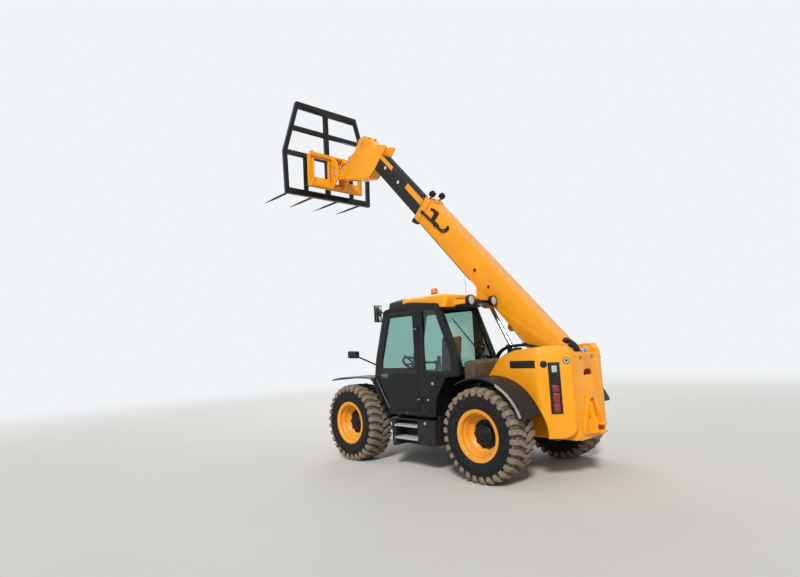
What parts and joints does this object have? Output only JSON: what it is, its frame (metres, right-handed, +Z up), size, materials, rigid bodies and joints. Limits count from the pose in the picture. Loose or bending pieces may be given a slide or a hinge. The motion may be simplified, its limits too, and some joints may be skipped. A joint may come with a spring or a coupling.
{
  "type": "telehandler",
  "caption": "Jointed four-wheel-steer telescopic handler with side cab, raised boom and a tall bale fork on its tilting carriage.",
  "frame": {"origin": "on the ground, under the middle of the machine's length at rest, on its middle plane", "axes": "+X forward, the way the boom reaches; +Y to the cab side (left); +Z up"},
  "size_m": [7, 2.3496, 7.1498],
  "materials": {
    "yellow_paint": "gloss paint",
    "rim_paint": "gloss paint",
    "black_paint": "satin paint",
    "black_plastic": "moulded, fine grain",
    "tyre_rubber": "dusty rubber",
    "axle_paint": "dark painted casting",
    "step_steel": "bare tread plate",
    "rod_chrome": "polished",
    "window_glass": "tinted",
    "seat_fabric": "woven",
    "lamp_plastic": "housing with clear and red lenses",
    "exhaust_steel": "heat-stained",
    "engine_paint": "painted casting"
  },
  "bodies": {
    "chassis": {"chassis_frame": "yellow_paint", "tow_hitch": "yellow_paint", "front_axle": "axle_paint", "rear_axle": "axle_paint", "cab_frame": "black_paint", "cab_roof": "yellow_paint", "cab_glass": "window_glass", "seat": "seat_fabric", "controls": "black_plastic", "tool_box": "black_plastic", "steps": "step_steel", "rear_deck": "black_plastic", "front_fenders": "black_plastic", "rear_fenders": "black_plastic", "tail_panels": "yellow_paint", "engine_pod": "black_paint", "engine_block": "engine_paint", "exhaust": "exhaust_steel", "lamps": "lamp_plastic", "mirrors": "black_plastic"},
    "cab_door": {"door_shell": "black_paint", "door_glass": "window_glass"},
    "bonnet": {"bonnet": "black_plastic"},
    "outer_boom": {"outer_boom": "yellow_paint", "boom_fittings": "black_plastic"},
    "inner_boom": {"inner_boom": "black_paint", "boom_nose": "yellow_paint", "hose_tray": "black_plastic", "tilt_barrel": "yellow_paint"},
    "tilt_rod": {"tilt_rod": "rod_chrome"},
    "carriage": {"carriage": "yellow_paint", "headboard": "black_paint", "tines": "black_paint"},
    "lift_barrel": {"lift_barrel": "yellow_paint"},
    "lift_rod": {"lift_rod": "rod_chrome"},
    "level_barrel": {"level_barrel": "yellow_paint"},
    "level_rod": {"level_rod": "rod_chrome"},
    "swivel_front_left": {"knuckle_front_left": "axle_paint"},
    "wheel_front_left": {"rim_front_left": "rim_paint", "tyre_front_left": "tyre_rubber"},
    "swivel_front_right": {"knuckle_front_right": "axle_paint"},
    "wheel_front_right": {"rim_front_right": "rim_paint", "tyre_front_right": "tyre_rubber"},
    "swivel_rear_left": {"knuckle_rear_left": "axle_paint"},
    "wheel_rear_left": {"rim_rear_left": "rim_paint", "tyre_rear_left": "tyre_rubber"},
    "swivel_rear_right": {"knuckle_rear_right": "axle_paint"},
    "wheel_rear_right": {"rim_rear_right": "rim_paint", "tyre_rear_right": "tyre_rubber"}
  },
  "joints": [
    {"name": "boom_lift", "type": "hinge", "parent": "chassis", "child": "outer_boom", "pos_m": [-3.08, 0, 1.58], "axis": [0, -1, 0], "range_deg": [-50, 11]},
    {"name": "boom_extend", "type": "slide", "parent": "outer_boom", "child": "inner_boom", "axis": [0.6717, 0, 0.7408], "range_m": [-1.55, 0.85]},
    {"name": "carriage_tilt", "type": "hinge", "parent": "inner_boom", "child": "carriage", "pos_m": [1.92, 0, 5.55], "axis": [0, 1, 0], "range_deg": [-60, 55]},
    {"name": "tilt_ram_stroke", "type": "slide", "parent": "inner_boom", "child": "tilt_rod", "axis": [0.9664, 0, -0.257], "range_m": [-0.18, 0.165]},
    {"name": "lift_ram_swing", "type": "hinge", "parent": "chassis", "child": "lift_barrel", "pos_m": [-2.66, 0, 0.74], "axis": [0, -1, 0], "range_deg": [-41.25, 9.46]},
    {"name": "lift_ram_stroke", "type": "slide", "parent": "lift_barrel", "child": "lift_rod", "axis": [0.4707, 0, 0.8823], "range_m": [-0.7599, 0.1711]},
    {"name": "level_ram_swing", "type": "hinge", "parent": "chassis", "child": "level_barrel", "pos_m": [-3.02, 0, 0.98], "axis": [0, -1, 0], "range_deg": [-37.25, 8.58]},
    {"name": "level_ram_stroke", "type": "slide", "parent": "level_barrel", "child": "level_rod", "axis": [0.6254, 0, 0.7803], "range_m": [-0.4544, 0.1039]},
    {"name": "cab_door", "type": "hinge", "parent": "chassis", "child": "cab_door", "pos_m": [-1.24, 1.112, 1.58], "axis": [0, 0, 1], "range_deg": [0, 95]},
    {"name": "bonnet_lift", "type": "hinge", "parent": "chassis", "child": "bonnet", "pos_m": [-0.965, -0.358, 1.446], "axis": [-1, 0, 0], "range_deg": [0, 50]},
    {"name": "steer_front_left", "type": "hinge", "parent": "chassis", "child": "swivel_front_left", "pos_m": [0.45, 0.8, 0.625], "axis": [0, 0, 1], "range_deg": [-28, 28]},
    {"name": "roll_front_left", "type": "hinge", "parent": "swivel_front_left", "child": "wheel_front_left", "pos_m": [0.45, 0.945, 0.625], "axis": [0, 1, 0], "continuous": true},
    {"name": "steer_front_right", "type": "hinge", "parent": "chassis", "child": "swivel_front_right", "pos_m": [0.45, -0.8, 0.625], "axis": [0, 0, 1], "range_deg": [-28, 28]},
    {"name": "roll_front_right", "type": "hinge", "parent": "swivel_front_right", "child": "wheel_front_right", "pos_m": [0.45, -0.945, 0.625], "axis": [0, 1, 0], "continuous": true},
    {"name": "steer_rear_left", "type": "hinge", "parent": "chassis", "child": "swivel_rear_left", "pos_m": [-2.3, 0.8, 0.625], "axis": [0, 0, 1], "range_deg": [-28, 28]},
    {"name": "roll_rear_left", "type": "hinge", "parent": "swivel_rear_left", "child": "wheel_rear_left", "pos_m": [-2.3, 0.945, 0.625], "axis": [0, 1, 0], "continuous": true},
    {"name": "steer_rear_right", "type": "hinge", "parent": "chassis", "child": "swivel_rear_right", "pos_m": [-2.3, -0.8, 0.625], "axis": [0, 0, 1], "range_deg": [-28, 28]},
    {"name": "roll_rear_right", "type": "hinge", "parent": "swivel_rear_right", "child": "wheel_rear_right", "pos_m": [-2.3, -0.945, 0.625], "axis": [0, 1, 0], "continuous": true}
  ],
  "couplings": [
    {"joint": "tilt_ram_stroke", "follows": "carriage_tilt", "m_per_rad": 0.17},
    {"joint": "lift_ram_swing", "follows": "boom_lift", "ratio": 0.815},
    {"joint": "lift_ram_stroke", "follows": "boom_lift", "m_per_rad": 0.865},
    {"joint": "level_ram_swing", "follows": "boom_lift", "ratio": 0.735},
    {"joint": "level_ram_stroke", "follows": "boom_lift", "m_per_rad": 0.515},
    {"joint": "steer_front_right", "follows": "steer_front_left", "ratio": 1},
    {"joint": "steer_rear_right", "follows": "steer_rear_left", "ratio": 1}
  ]
}
